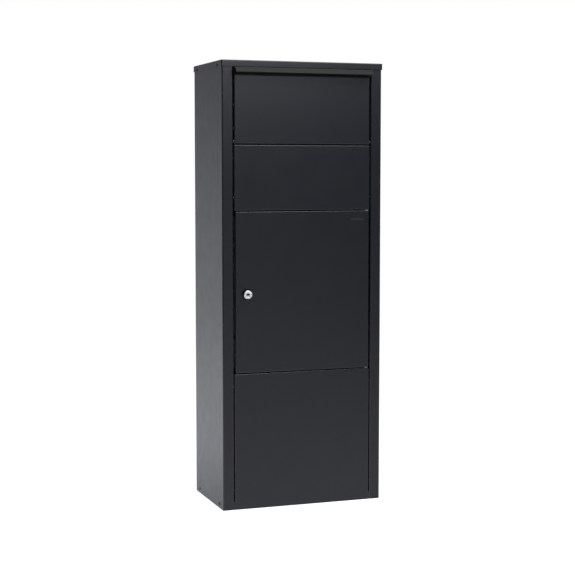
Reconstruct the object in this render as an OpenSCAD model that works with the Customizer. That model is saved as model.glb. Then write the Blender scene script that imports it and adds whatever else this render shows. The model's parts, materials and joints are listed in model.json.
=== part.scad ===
// Free-standing steel parcel locker: a folded cabinet with a drop flap above and a locked door below.
// Frame: X to the right, Y to the back, Z up. The origin is the centre of the base's underside.
// The flap carries a rigid chute: opening the flap lifts the chute floor level, shutting it tips it.

/* [Cabinet] */
// Width across the two side panels
body_w = 518; // [500:2:540]
// Depth from the front skins to the back panel
body_d = 300; // [296:2:320]
// Height from the floor to the top of the lid
body_h = 1370; // [1366:1:1390]
// Thickness of the folded steel sheet
sheet = 1.5; // [1.2:0.1:1.6]
// Width of each front stile
stile_w = 35; // [33:1:40]
// Depth of the jamb that is folded back behind each stile
jamb_d = 21.5; // [20:0.5:22]

/* [Front openings] */
// Height of the top edge of the fixed lower panel
lower_top = 419.5; // [400:0.5:440]
// Gap below the door
door_gap_low = 2.5; // [2.5:0.1:3]
// Height of the door
door_h = 493.2; // [480:0.2:500]
// Gap above the door
door_gap_high = 3; // [2.5:0.1:4]
// Height of the fixed middle panel
mid_h = 198.3; // [185:0.1:200]
// Gap between the middle panel and the flap
flap_gap = 4; // [4:0.5:6]
// Gap at each side of the flap, and at the door's hinge edge
leaf_gap = 4; // [3.5:0.5:5]
// Gap between the door's lock edge and its stile
lock_gap = 6; // [5:0.5:8]
// Depth of the returns folded round the door and the flap
return_d = 16; // [14:1:16]

/* [Lid] */
// Thickness of the lid's sheet
lid_t = 2; // [1.5:0.5:2]
// Height of the lid's skirt
skirt_h = 19; // [18:1:20]
// Clearance between the skirt and the cabinet
skirt_gap = 0.5; // [0.3:0.1:1]

/* [Hinges] */
// Distance of each hinge axis behind the front skins
hinge_in = 7; // [7:0.5:8]
// Radius of the hinge pins
pin_r = 3.5; // [3:0.5:3.5]
// Radial running clearance of the hinge pins
pin_play = 0.06; // [0.02:0.01:0.1]
// Outer radius of the hinge bushes
bush_r = 5; // [4.5:0.1:5]

/* [Chute] */
// Angle of the chute floor below level when the flap is shut
chute_angle = 60; // [50:1:60]
// Length of the chute floor from the flap's hinge axis
chute_len = 250; // [220:5:250]
// Radius of the side cheeks
cheek_r = 205; // [180:5:205]
// Thickness of the chute floor
chute_t = 2; // [2:0.5:3]

/* [Lock] */
// Distance of the lock's axis from the door's lock edge
lock_in = 37; // [34:1:40]
// Height of the lock's axis
lock_z = 663.5; // [600:0.5:700]
// Radius of the lock's head
lock_head_r = 13.2; // [12.5:0.1:14]
// Radius of the lock's barrel
barrel_r = 11; // [10:0.5:11]
// Radius of the turning plug
plug_r = 7.75; // [7:0.05:8]
// Radial running clearance of the plug
plug_play = 0.06; // [0.02:0.01:0.1]

/* [Fixings] */
// Spacing of the ground bolts from side to side
ground_dx = 380; // [340:10:400]
// Spacing of the ground bolts from front to back
ground_dy = 190; // [160:10:200]
// Radius of the ground bolt holes
ground_r = 6; // [5:0.5:7]
// Spacing of the wall bolts from side to side
wall_dx = 360; // [320:10:400]
// Spacing of the wall bolts in height
wall_dz = 800; // [700:10:800]
// Radius of the wall bolt holes
wall_r = 4.5; // [4:0.5:5]
// Distance of the side rivets from the front and from the back
rivet_in = 40; // [30:5:60]

/* [Hidden] */
$fn = 48;
eps = 0.5; // overshoot of a cutting tool past the face that it cuts
sides = [-1, 1]; // left and right
ends = [-1, 1]; // front and back, or low and high

// Cabinet planes
half_w = body_w / 2;
inner_w = half_w - sheet; // inner face of a side panel
front = -body_d / 2; // front plane of the skins
back = body_d / 2; // plane of the back panel
skin_in = front + sheet; // inner face of the front skins
back_in = back - sheet; // inner face of the back panel
strip_t = 2; // thickness of the strips welded into the rear corners
strip_w = 12; // width of these strips
strip_in = back_in - strip_t; // inner face of the strips
top_in = body_h - lid_t; // underside of the lid
jamb_x = half_w - stile_w; // door-side face of a jamb
jamb_back = front + jamb_d; // rear edge of a jamb
web_drop = 11; // how far the header's web hangs below the flap's top edge

// Base
base_t = 2; // thickness of the base plate
base_wall_h = 25; // height of the base walls
weld_gap = 0.5; // gap that the weld fills where two base walls meet
mat_t = 4; // thickness of the floor mat
mat_gap = 10; // clearance round the floor mat
washer_room_r = 32; // room in the mat round each ground bolt
fold_gap = 2; // height left between the base walls and the folds above them

// Front panels
mid_bottom = lower_top + door_gap_low + door_h + door_gap_high;
mid_top = mid_bottom + mid_h;
panel_gap = 2.5; // gap beside the fixed panels
panel_half = jamb_x - panel_gap;
panel_d = 18; // depth of the fixed panels' side returns
hinge_return_d = 25; // depth of the returns that carry the door's pins
mid_return_d = 9; // depth of the middle panel's top return, clear of the chute
screw_r = 2.5;
screw_head_r = 4.5;
screw_head_h = 3;
screw_y = front + 9; // axis of the screws, behind the stiles
nut_h = 5;
nut_r = 4.6;
screw_in = 60; // distance of the screws from a panel's floor edge
screw_edge = 40; // distance of the screws from a panel's other edges
screw_heights = [screw_in, lower_top - screw_edge, mid_bottom + screw_edge, mid_top - screw_edge];

// Door
door_bottom = lower_top + door_gap_low;
door_top = door_bottom + door_h;
door_left = -jamb_x + lock_gap; // lock edge of the door
leaf_half = jamb_x - leaf_gap; // half of the flap's width, and the door's hinge edge
door_axis_x = leaf_half - hinge_in;
door_axis_y = front + hinge_in;
bracket_t = 3;
bracket_w = 35;
pin_reach = 12; // length of a pin inside the door
pin_head_r = 5.2;
pin_head_h = 3;
bush_flange_r = 5.4;
bush_flange_h = 1.8;
bush_l = 10;
badge_w = 44;
badge_h = 7;
badge_t = 0.4;
badge_x = leaf_half - 39;
badge_z = door_top - 27;
stiff_w = 50;
stiff_d = 12;
stiff_in = 20; // distance of the stiffener from the door's top and bottom

// Strike strip and buffers
strike_w = 16; // width of the strike that the cam turns behind
strike_in = 14; // distance of the strip from the door's top and bottom
strike_rivet_y = front + 12;
strike_rivet_step = 190;
buffer_r = 4;
buffer_in = 1; // distance of the door's buffers inside its lock edge
buffer_step = 133; // distance of the door's buffers above and below the lock
flap_buffer_in = 30; // distance of the flap's buffers from its sides
flap_buffer_drop = 3; // and from its top edge
rest_gap = 0.35; // clearance left at the rubber stops

// Lock
lock_x = door_left + lock_in;
rosette_r = 16;
rosette_t = 1.5;
head_h = 9.5;
plug_recess = 0.4; // depth of the plug's face below the head's face
barrel_end = front + 22; // inner end of the lock's barrel
tail_r = 5;
washer_r = 9.5;
washer_t = 2;
washer_gap = 0.5; // gap between the barrel's end and the washer
cam_t = 3;
cam_l = 42;
cam_w = 18;
cam_y = barrel_end + washer_gap + washer_t; // front face of the cam
lock_nut_r = 15.5;
lock_nut_h = 6;
key_w = 10;
key_h = 1.8;
key_d = 14;
screw_bore_d = 10;
cam_screw_head_r = 5.5;

// Flap and chute
flap_bottom = mid_top + flap_gap;
flap_foot_d = hinge_in + 1; // depth of the flap's bottom return
end_play = 0.6; // clearance between a bush and its jamb
bolt_reach = 1; // how far a pivot bolt stands past its bush
axis_y = front + hinge_in;
axis_z = flap_bottom + hinge_in;
flap_top = body_h - skirt_h - 2; // top edge of the flap, below the lid's skirt
chute_start = 8; // distance of the floor's front edge from the axis
cheek_t = 1.5;
cheek_x = leaf_half - sheet - cheek_t; // inner face of a cheek
cheek_boss_r = 9; // round the bush
foot_clear = 1.2; // how far behind the axis the boss is cut away over the flap's foot
floor_half = cheek_x; // half width of the chute floor
floor_flange_h = 12;
floor_flange_t = 2;
flange_start = 16;
lip_h = 10;
chute_mat_t = 2;
chute_mat_in = 5; // distance of the chute's mat from the side flanges
mat_front_in = 10; // from the floor's front edge
mat_rear_in = 12; // and from its rear edge
rivet_r = 2;
rivet_head_r = 3.5;
rivet_head_h = 1.2;
flap_rivet_y = 3; // distance of the cheek rivets behind the axis
flap_rivet_heights = [40, 110, 180]; // above the axis
floor_rivet_reach = [60, 150]; // along the floor from the axis

// Grip rail: an aluminium section with a level top, a sloped face and a hooked lower lip
rail_half = leaf_half + 2;
rail_t = 2;
rail_top_d = 15; // depth of the level top
rail_out = 30; // how far the lower lip stands out
rail_drop = 15; // height of the sloped face
rail_lip = 3;
rail_leg = 21; // height of the leg that is riveted to the flap
rail_rivet_xs = [-180, -60, 60, 180];
rail_rivet_drop = 12;

// Ledge and stops at the back
ledge_d = 36;
ledge_z = axis_z - 0.5; // top face of the ledge
ledge_half = inner_w - 7.5;
ledge_lip = 15;
stop_x = 150;
stop_w = 30;
stop_over = 17; // how far a stop bracket reaches in front of the ledge
stop_t = 1.5;
stop_foot = 3; // distance of a stop's upright behind the ledge's front edge
stop_rise = 5; // height of a stop's top above the flap's axis
pad_l = 8;
pad_in = 3; // distance of a pad behind the stop's front edge

// Side rivets, back rivets and wall plates
side_rivet_r = 2.4;
side_rivet_head_r = 3.4;
side_rivet_head_h = 1.3;
side_rivet_tail = 2;
side_rivet_tail_r = 3;
base_rivet_z = 13.5;
lid_rivet_z = body_h - 14;
back_rivet_x = half_w - 10;
back_rivet_heights = [100, 390, 680, 970, 1260];
plate_w = 50;
plate_t = 2;
wall_mid_z = 700;

// A block from its lowest corner to its highest corner
module slab(low, high) {
  translate(low) cube(high - low);
}

// Round bar along X, Y or Z from one coordinate to another
module bar_x(x0, x1, y, z, r) {
  translate([x0, y, z]) rotate([0, 90, 0]) cylinder(h = x1 - x0, r = r);
}
module bar_y(y0, y1, x, z, r) {
  translate([x, y0, z]) rotate([-90, 0, 0]) cylinder(h = y1 - y0, r = r);
}
module bar_z(z0, z1, x, y, r) {
  translate([x, y, z0]) cylinder(h = z1 - z0, r = r);
}

// Folded front pan: a skin with a return on each edge, each return with its own depth
module front_pan(x0, x1, z0, z1, side_d, top_d, bottom_d, side_z0) {
  slab([x0, front, z0], [x1, skin_in, z1]);
  slab([x0, front, side_z0], [x0 + sheet, front + side_d, z1]);
  slab([x1 - sheet, front, side_z0], [x1, front + side_d, z1]);
  slab([x0, front, z1 - sheet], [x1, front + top_d, z1]);
  slab([x0, front, z0], [x1, front + bottom_d, z0 + sheet]);
}

// Blind rivet along X on the side given by s: domed head outside, set tail inside
module side_rivet(s, face_x, grip, y, z) {
  rotate([0, 0, s > 0 ? 0 : 180]) union() {
    bar_x(face_x - grip, face_x, s * y, z, side_rivet_r);
    bar_x(face_x, face_x + side_rivet_head_h, s * y, z, side_rivet_head_r);
    bar_x(face_x - grip - side_rivet_tail, face_x - grip, s * y, z, side_rivet_tail_r);
  }
}

// Right-hand side panel: side sheet, stile and jamb folded from one sheet
module side_shell() {
  difference() {
    union() {
      slab([inner_w, front, 0], [half_w, back_in, top_in]);
      slab([jamb_x, front, 0], [half_w, skin_in, top_in]);
      slab([jamb_x, front, base_wall_h + fold_gap], [jamb_x + sheet, jamb_back, top_in - fold_gap]);
    }
    for (z = screw_heights) bar_x(jamb_x - eps, jamb_x + sheet + eps, screw_y, z, screw_r);
    bar_x(jamb_x - eps, jamb_x + sheet + eps, axis_y, axis_z, pin_r);
    for (y = [front + rivet_in, back - rivet_in])
      for (z = [base_rivet_z, lid_rivet_z]) bar_x(inner_w - eps, half_w + eps, y, z, side_rivet_r);
  }
}

module right_side_panel() {
  color([0.17, 0.17, 0.18]) side_shell();
}

module left_side_panel() {
  color([0.40, 0.40, 0.42]) difference() {
    mirror([1, 0, 0]) side_shell();
    for (i = [-1:1])
      bar_x(-jamb_x - sheet - eps, -jamb_x + eps, strike_rivet_y, lock_z + i * strike_rivet_step,
            rivet_r);
  }
}

// Strips welded into the rear corners, which the back panel is riveted to
module rear_strips() {
  color([0.17, 0.17, 0.18]) for (s = sides)
    rotate([0, 0, s > 0 ? 0 : 180]) difference() {
      slab([inner_w - strip_w, min(s * strip_in, s * back_in), base_wall_h + fold_gap],
           [inner_w, max(s * strip_in, s * back_in), top_in - fold_gap]);
      for (z = back_rivet_heights)
        bar_y(min(s * strip_in, s * back_in) - eps, max(s * strip_in, s * back_in) + eps, back_rivet_x, z,
              rivet_r);
    }
}

// Back panel, flush with the wall, with four wall bolt holes and countersunk rivet holes
module back_panel() {
  color([0.17, 0.17, 0.18]) difference() {
    slab([-half_w, back_in, 0], [half_w, back, top_in]);
    for (s = sides) {
      for (e = ends)
        bar_y(back_in - eps, back + eps, s * wall_dx / 2, wall_mid_z + e * wall_dz / 2, wall_r);
      for (z = back_rivet_heights) bar_y(back_in - eps, back + eps, s * back_rivet_x, z, rivet_r);
    }
  }
}

// Lid: a top sheet with a skirt at the front and at both sides
module lid() {
  skirt_x = half_w + skirt_gap;
  skirt_y = front - skirt_gap;
  lid_x = skirt_x + lid_t;
  skirt_z = body_h - skirt_h;
  color([0.20, 0.20, 0.21]) difference() {
    union() {
      slab([-lid_x, skirt_y - lid_t, top_in], [lid_x, back, body_h]);
      slab([-lid_x, skirt_y - lid_t, skirt_z], [lid_x, skirt_y, body_h]);
      for (x = [-lid_x, skirt_x]) slab([x, skirt_y - lid_t, skirt_z], [x + lid_t, back, body_h]);
    }
    for (y = [front + rivet_in, back - rivet_in])
      for (x = [-lid_x - eps, half_w]) bar_x(x, x + lid_x + eps - half_w, y, lid_rivet_z, side_rivet_r);
  }
}

// Base plate: a flat sheet with four ground bolt holes
module base_plate() {
  color([0.17, 0.17, 0.18]) difference() {
    slab([-inner_w, skin_in, 0], [inner_w, back_in, base_t]);
    for (x = sides)
      for (y = ends) bar_z(-eps, base_t + eps, x * ground_dx / 2, y * ground_dy / 2, ground_r);
  }
}

// Base walls: four flat bars welded on the base plate's edges, the side ones riveted to the sides
module base_walls() {
  color([0.17, 0.17, 0.18]) {
    for (x = [-inner_w, inner_w - sheet])
      difference() {
        slab([x, skin_in, base_t], [x + sheet, back_in, base_wall_h]);
        for (y = [front + rivet_in, back - rivet_in])
          bar_x(x - eps, x + sheet + eps, y, base_rivet_z, side_rivet_r);
      }
    for (y = [skin_in, back_in - sheet])
      slab([-inner_w + sheet + weld_gap, y, base_t],
           [inner_w - sheet - weld_gap, y + sheet, base_wall_h]);
  }
}

// Fixed lower panel, whose top return carries the door's lower pin
module lower_front_panel() {
  color([0.20, 0.20, 0.21]) difference() {
    union() {
      slab([-panel_half, front, 0], [panel_half, skin_in, lower_top]);
      for (x = [-panel_half, panel_half - sheet])
        slab([x, front, base_wall_h + fold_gap], [x + sheet, front + panel_d, lower_top]);
      slab([-panel_half, front, lower_top - sheet], [panel_half, front + hinge_return_d, lower_top]);
    }
    for (z = [screw_heights[0], screw_heights[1]]) bar_x(-half_w, half_w, screw_y, z, screw_r);
    bar_z(lower_top - sheet - eps, lower_top + eps, door_axis_x, door_axis_y, pin_r);
  }
}

// Fixed middle panel between the door and the flap, whose bottom return carries the upper pin
module mid_front_panel() {
  color([0.17, 0.17, 0.18]) difference() {
    front_pan(-panel_half, panel_half, mid_bottom, mid_top, panel_d, mid_return_d, hinge_return_d,
              mid_bottom);
    for (z = [screw_heights[2], screw_heights[3]]) bar_x(-half_w, half_w, screw_y, z, screw_r);
    bar_z(mid_bottom - eps, mid_bottom + sheet + eps, door_axis_x, door_axis_y, pin_r);
  }
}

// Header under the lid: a level flange across the cabinet and a web that stops the flap
module front_header() {
  web_y = front + return_d + buffer_r;
  color([0.14, 0.14, 0.15]) union() {
    slab([-inner_w, skin_in, top_in - sheet], [inner_w, web_y + sheet, top_in]);
    slab([-jamb_x, web_y, flap_top - web_drop], [jamb_x, web_y + sheet, top_in]);
  }
}

// Ledge across the back that closes the chute when the flap is open
module back_ledge() {
  ledge_y = back_in - ledge_d;
  mid_x = inner_w - strip_w - sheet; // half width of the part between the rear strips
  color([0.35, 0.35, 0.36]) union() {
    slab([-ledge_half, ledge_y, ledge_z - sheet], [ledge_half, strip_in, ledge_z]);
    slab([-ledge_half, ledge_y, ledge_z - ledge_lip], [ledge_half, ledge_y + sheet, ledge_z]);
    slab([-mid_x, ledge_y, ledge_z - sheet], [mid_x, back_in, ledge_z]);
    slab([-mid_x, back_in - sheet, ledge_z - sheet], [mid_x, back_in, ledge_z + ledge_lip]);
  }
}

// Rubber mat on the base plate, cut out round the ground bolts
module floor_mat() {
  mat_x = inner_w - sheet - mat_gap;
  color([0.08, 0.08, 0.08]) difference() {
    slab([-mat_x, skin_in + sheet + mat_gap, base_t],
         [mat_x, back_in - sheet - mat_gap, base_t + mat_t]);
    for (x = sides)
      for (y = ends)
        bar_z(base_t - eps, base_t + mat_t + eps, x * ground_dx / 2, y * ground_dy / 2, washer_room_r);
  }
}

// Strike strip: an angle riveted inside the lock-side jamb, which the cam turns behind
module strike_strip() {
  low = door_bottom + strike_in;
  high = door_top - strike_in;
  color([0.62, 0.63, 0.65]) difference() {
    union() {
      slab([-jamb_x - 2 * sheet, skin_in + sheet, low], [-jamb_x - sheet, jamb_back + sheet, high]);
      slab([-jamb_x - 2 * sheet, jamb_back, low], [-jamb_x + strike_w, jamb_back + sheet, high]);
    }
    for (i = [-1:1])
      bar_x(-jamb_x - 2 * sheet - eps, -jamb_x, strike_rivet_y, lock_z + i * strike_rivet_step,
            rivet_r);
  }
}

module strike_rivets() {
  color([0.62, 0.63, 0.65]) for (i = [-1:1]) {
    z = lock_z + i * strike_rivet_step;
    bar_x(-jamb_x - 2 * sheet, -jamb_x, strike_rivet_y, z, rivet_r);
    bar_x(-jamb_x, -jamb_x + rivet_head_h, strike_rivet_y, z, rivet_head_r);
    bar_x(-jamb_x - 2 * sheet - rivet_head_h, -jamb_x - 2 * sheet, strike_rivet_y, z, rivet_head_r);
  }
}

// Thick plates behind the two returns that carry the door's pins
module hinge_brackets() {
  right = panel_half - sheet;
  color([0.62, 0.63, 0.65]) for (z = [lower_top - sheet - bracket_t, mid_bottom + sheet])
    difference() {
      slab([right - bracket_w, skin_in, z], [right, front + hinge_return_d - sheet, z + bracket_t]);
      bar_z(z - eps, z + bracket_t + eps, door_axis_x, door_axis_y, pin_r);
    }
}

// Door pins: headed studs through the brackets and the returns into the door's bushes
module door_pins() {
  low_face = lower_top - sheet - bracket_t;
  high_face = mid_bottom + sheet + bracket_t;
  color([0.80, 0.80, 0.82]) {
    bar_z(low_face, door_bottom + pin_reach, door_axis_x, door_axis_y, pin_r);
    bar_z(low_face - pin_head_h, low_face, door_axis_x, door_axis_y, pin_head_r);
    bar_z(door_top - pin_reach, high_face, door_axis_x, door_axis_y, pin_r);
    bar_z(high_face, high_face + pin_head_h, door_axis_x, door_axis_y, pin_head_r);
  }
}

// Pivot bolts: through each jamb into the bushes in the flap's ends
module flap_pivot_bolts() {
  inner_end = cheek_x - bolt_reach;
  color([0.80, 0.80, 0.82]) for (s = sides) {
    rotate([0, 0, s > 0 ? 0 : 180]) union() {
      bar_x(inner_end, jamb_x + sheet, s * axis_y, axis_z, pin_r);
      bar_x(jamb_x + sheet, jamb_x + sheet + pin_head_h, s * axis_y, axis_z, pin_head_r);
    }
  }
}

module lid_rivets() {
  color([0.07, 0.07, 0.07]) for (s = sides)
    for (y = [front + rivet_in, back - rivet_in])
      side_rivet(s, half_w + skirt_gap + lid_t, sheet + skirt_gap + lid_t, y, lid_rivet_z);
}

module base_rivets() {
  color([0.07, 0.07, 0.07]) for (s = sides)
    for (y = [front + rivet_in, back - rivet_in]) side_rivet(s, half_w, 2 * sheet, y, base_rivet_z);
}

// Flush rivets that hold the back panel to the rear strips
module back_rivets() {
  color([0.17, 0.17, 0.18]) for (s = sides)
    for (z = back_rivet_heights) {
      bar_y(strip_in, back, s * back_rivet_x, z, rivet_r);
      bar_y(strip_in - rivet_head_h, strip_in, s * back_rivet_x, z, rivet_head_r);
    }
}

// Screws that hold the fixed front panels to the jambs
module panel_screws() {
  color([0.62, 0.63, 0.65]) for (s = sides)
    for (z = screw_heights)
      rotate([0, 0, s > 0 ? 0 : 180]) union() {
        bar_x(panel_half - sheet, jamb_x + sheet + nut_h, s * screw_y, z, screw_r);
        bar_x(panel_half - sheet - screw_head_h, panel_half - sheet, s * screw_y, z, screw_head_r);
      }
}

module panel_nuts() {
  color([0.62, 0.63, 0.65]) for (s = sides)
    for (z = screw_heights)
      rotate([0, 0, s > 0 ? 0 : 180]) difference() {
        translate([jamb_x + sheet, s * screw_y, z]) rotate([0, 90, 0])
          cylinder(h = nut_h, r = nut_r, $fn = 6);
        bar_x(jamb_x, jamb_x + 2 * nut_h, s * screw_y, z, screw_r);
      }
}

// Doubling plates behind the wall bolt holes
module wall_plates() {
  color([0.62, 0.63, 0.65]) for (s = sides)
    for (e = ends) {
      x = s * wall_dx / 2;
      z = wall_mid_z + e * wall_dz / 2;
      difference() {
        slab([x - plate_w / 2, back_in - plate_t, z - plate_w / 2],
             [x + plate_w / 2, back_in, z + plate_w / 2]);
        bar_y(back_in - plate_t - eps, back_in + eps, x, z, wall_r);
      }
    }
}

// Doubling plates on the base plate round the ground bolt holes
module ground_plates() {
  color([0.62, 0.63, 0.65]) for (x = sides)
    for (y = ends)
      difference() {
        bar_z(base_t, base_t + plate_t, x * ground_dx / 2, y * ground_dy / 2, washer_room_r - 2);
        bar_z(base_t - eps, base_t + plate_t + eps, x * ground_dx / 2, y * ground_dy / 2, ground_r);
      }
}

// Rubber studs on the strike strip that the shut door rests on
module door_buffers() {
  color([0.08, 0.08, 0.08]) for (e = ends)
    bar_y(front + return_d + rest_gap, jamb_back, door_left + buffer_in, lock_z + e * buffer_step,
          buffer_r);
}

// Rubber studs on the header that the shut flap rests on
module flap_buffers() {
  color([0.08, 0.08, 0.08]) for (s = sides)
    bar_y(front + return_d + rest_gap, front + return_d + buffer_r, s * (leaf_half - flap_buffer_in),
          flap_top - flap_buffer_drop, buffer_r);
}

// Folded brackets on the ledge that reach over the chute floor and stop it level
module flap_stop_brackets() {
  upright_y = back_in - ledge_d + stop_foot;
  front_y = back_in - ledge_d - stop_over;
  top_z = axis_z + stop_rise;
  color([0.62, 0.63, 0.65]) for (s = sides) {
    x0 = s * stop_x - stop_w / 2;
    x1 = x0 + stop_w;
    slab([x0, upright_y, ledge_z], [x1, back_in - 2 * sheet, ledge_z + stop_t]);
    slab([x0, upright_y, ledge_z], [x1, upright_y + stop_t, top_z]);
    slab([x0, front_y, top_z - stop_t], [x1, upright_y + stop_t, top_z]);
  }
}

module flap_stop_pads() {
  pad_y = back_in - ledge_d - stop_over + pad_in;
  color([0.08, 0.08, 0.08]) for (s = sides)
    slab([s * stop_x - stop_w / 2, pad_y, axis_z + rest_gap],
         [s * stop_x + stop_w / 2, pad_y + pad_l, axis_z + stop_rise - stop_t]);
}

// Door: a folded pan with holes for the lock and for the two bushes
module door_skin() {
  color([0.17, 0.17, 0.18]) difference() {
    front_pan(door_left, leaf_half, door_bottom, door_top, return_d, return_d, return_d, door_bottom);
    bar_y(front - eps, skin_in + eps, lock_x, lock_z, barrel_r);
    for (z = [door_bottom, door_top - sheet])
      bar_z(z - eps, z + sheet + eps, door_axis_x, door_axis_y, bush_r);
  }
}

// Channel spot-welded up the middle of the door
module door_stiffener() {
  low = door_bottom + stiff_in;
  high = door_top - stiff_in;
  color([0.14, 0.14, 0.15]) difference() {
    slab([-stiff_w / 2, skin_in, low], [stiff_w / 2, skin_in + stiff_d, high]);
    slab([-stiff_w / 2 + sheet, skin_in - eps, low - eps],
         [stiff_w / 2 - sheet, skin_in + stiff_d - sheet, high + eps]);
  }
}

// Flanged bushes pressed into the door's top and bottom returns
module door_bushes() {
  color([0.85, 0.85, 0.83]) {
    difference() {
      union() {
        bar_z(door_bottom, door_bottom + bush_l, door_axis_x, door_axis_y, bush_r);
        bar_z(door_bottom - bush_flange_h, door_bottom, door_axis_x, door_axis_y, bush_flange_r);
      }
      bar_z(door_bottom - bush_l, door_bottom + 2 * bush_l, door_axis_x, door_axis_y, pin_r + pin_play);
    }
    difference() {
      union() {
        bar_z(door_top - bush_l, door_top, door_axis_x, door_axis_y, bush_r);
        bar_z(door_top, door_top + bush_flange_h, door_axis_x, door_axis_y, bush_flange_r);
      }
      bar_z(door_top - 2 * bush_l, door_top + bush_l, door_axis_x, door_axis_y, pin_r + pin_play);
    }
  }
}

// Plain pill-shaped badge, left blank
module door_badge() {
  end_x = (badge_w - badge_h) / 2;
  color([0.12, 0.12, 0.13]) union() {
    slab([badge_x - end_x, front - badge_t, badge_z - badge_h / 2],
         [badge_x + end_x, front, badge_z + badge_h / 2]);
    for (s = sides) bar_y(front - badge_t, front, badge_x + s * end_x, badge_z, badge_h / 2);
  }
}

// Cam lock: the fixed housing, with its head outside and its barrel through the door
module lock_housing() {
  head_y = front - rosette_t;
  color([0.75, 0.75, 0.77]) difference() {
    union() {
      bar_y(head_y - head_h, head_y, lock_x, lock_z, lock_head_r);
      bar_y(head_y, barrel_end, lock_x, lock_z, barrel_r);
    }
    bar_y(head_y - head_h - eps, barrel_end + eps, lock_x, lock_z, plug_r + plug_play);
  }
}

module lock_rosette() {
  color([0.70, 0.70, 0.72]) difference() {
    bar_y(front - rosette_t, front, lock_x, lock_z, rosette_r);
    bar_y(front - rosette_t - eps, front + eps, lock_x, lock_z, barrel_r);
  }
}

module lock_nut() {
  color([0.70, 0.70, 0.72]) difference() {
    translate([lock_x, skin_in, lock_z]) rotate([-90, 0, 0])
      cylinder(h = lock_nut_h, r = lock_nut_r, $fn = 6);
    bar_y(front, skin_in + 2 * lock_nut_h, lock_x, lock_z, barrel_r);
  }
}

// Turning plug with its key slot, and a tail that carries the cam
module lock_plug() {
  face_y = front - rosette_t - head_h + plug_recess;
  color([0.72, 0.71, 0.68]) difference() {
    union() {
      bar_y(face_y, barrel_end, lock_x, lock_z, plug_r);
      bar_y(barrel_end, cam_y + cam_t, lock_x, lock_z, tail_r);
    }
    slab([lock_x - key_w / 2, face_y - eps, lock_z - key_h / 2],
         [lock_x + key_w / 2, face_y + key_d, lock_z + key_h / 2]);
    bar_y(cam_y + cam_t - screw_bore_d, cam_y + cam_t + eps, lock_x, lock_z, screw_r);
  }
}

module cam_washer() {
  color([0.62, 0.63, 0.65]) difference() {
    bar_y(cam_y - washer_t, cam_y, lock_x, lock_z, washer_r);
    bar_y(cam_y - washer_t - eps, cam_y + eps, lock_x, lock_z, tail_r);
  }
}

// Cam, hanging down when unlocked, turned behind the strike when locked
module lock_cam() {
  color([0.62, 0.63, 0.65]) difference() {
    union() {
      bar_y(cam_y, cam_y + cam_t, lock_x, lock_z, cam_w / 2);
      slab([lock_x - cam_w / 2, cam_y, lock_z - cam_l], [lock_x + cam_w / 2, cam_y + cam_t, lock_z]);
    }
    bar_y(cam_y - eps, cam_y + cam_t + eps, lock_x, lock_z, tail_r);
  }
}

module cam_screw() {
  color([0.62, 0.63, 0.65]) union() {
    bar_y(cam_y + cam_t - screw_bore_d, cam_y + cam_t, lock_x, lock_z, screw_r);
    bar_y(cam_y + cam_t, cam_y + cam_t + screw_head_h, lock_x, lock_z, cam_screw_head_r);
  }
}

// Flap: a folded pan with a bush hole in each side return
module flap_front() {
  color([0.20, 0.20, 0.21]) difference() {
    union() {
      slab([-leaf_half, front, flap_bottom], [leaf_half, skin_in, flap_top]);
      for (x = [-leaf_half, leaf_half - sheet])
        slab([x, front, flap_bottom], [x + sheet, front + return_d, flap_top]);
      slab([-leaf_half, front, flap_top - sheet], [leaf_half, front + return_d, flap_top]);
      slab([-leaf_half, front, flap_bottom], [leaf_half, front + flap_foot_d, flap_bottom + sheet]);
    }
    bar_x(-half_w, half_w, axis_y, axis_z, bush_r);
    for (z = flap_rivet_heights) bar_x(-half_w, half_w, axis_y + flap_rivet_y, axis_z + z, rivet_r);
    for (x = rail_rivet_xs) bar_y(front - eps, skin_in + eps, x, flap_top - rail_rivet_drop, rivet_r);
  }
}

// Grip rail along the flap's top edge
module grip_rail() {
  slope_t = rail_t * sqrt(2);
  color([0.30, 0.30, 0.28]) difference() {
    translate([-rail_half, front, flap_top]) rotate([90, 0, 90]) linear_extrude(height = 2 * rail_half)
      polygon([
        [0, 0],
        [-rail_top_d, 0],
        [-rail_out, -rail_drop],
        [-rail_out, -rail_drop - rail_lip],
        [-rail_out + rail_t, -rail_drop - rail_lip],
        [-rail_out + rail_t, -rail_drop - slope_t + rail_t],
        [-rail_top_d + slope_t - rail_t, -rail_t],
        [-rail_t, -rail_t],
        [-rail_t, -rail_leg],
        [0, -rail_leg]
      ]);
    for (x = rail_rivet_xs) bar_y(front - rail_t - eps, front + eps, x, flap_top - rail_rivet_drop, rivet_r);
  }
}

module rail_rivets() {
  z = flap_top - rail_rivet_drop;
  color([0.62, 0.63, 0.65]) for (x = rail_rivet_xs) {
    bar_y(front - rail_t, skin_in, x, z, rivet_r);
    bar_y(front - rail_t - rivet_head_h, front - rail_t, x, z, rivet_head_r);
    bar_y(skin_in, skin_in + rivet_head_h, x, z, rivet_head_r);
  }
}

// Turns a piece drawn with a level chute floor about the flap's axis, down to its shut angle
module tipped() {
  translate([0, axis_y, axis_z]) rotate([-chute_angle, 0, 0]) children();
}

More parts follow.
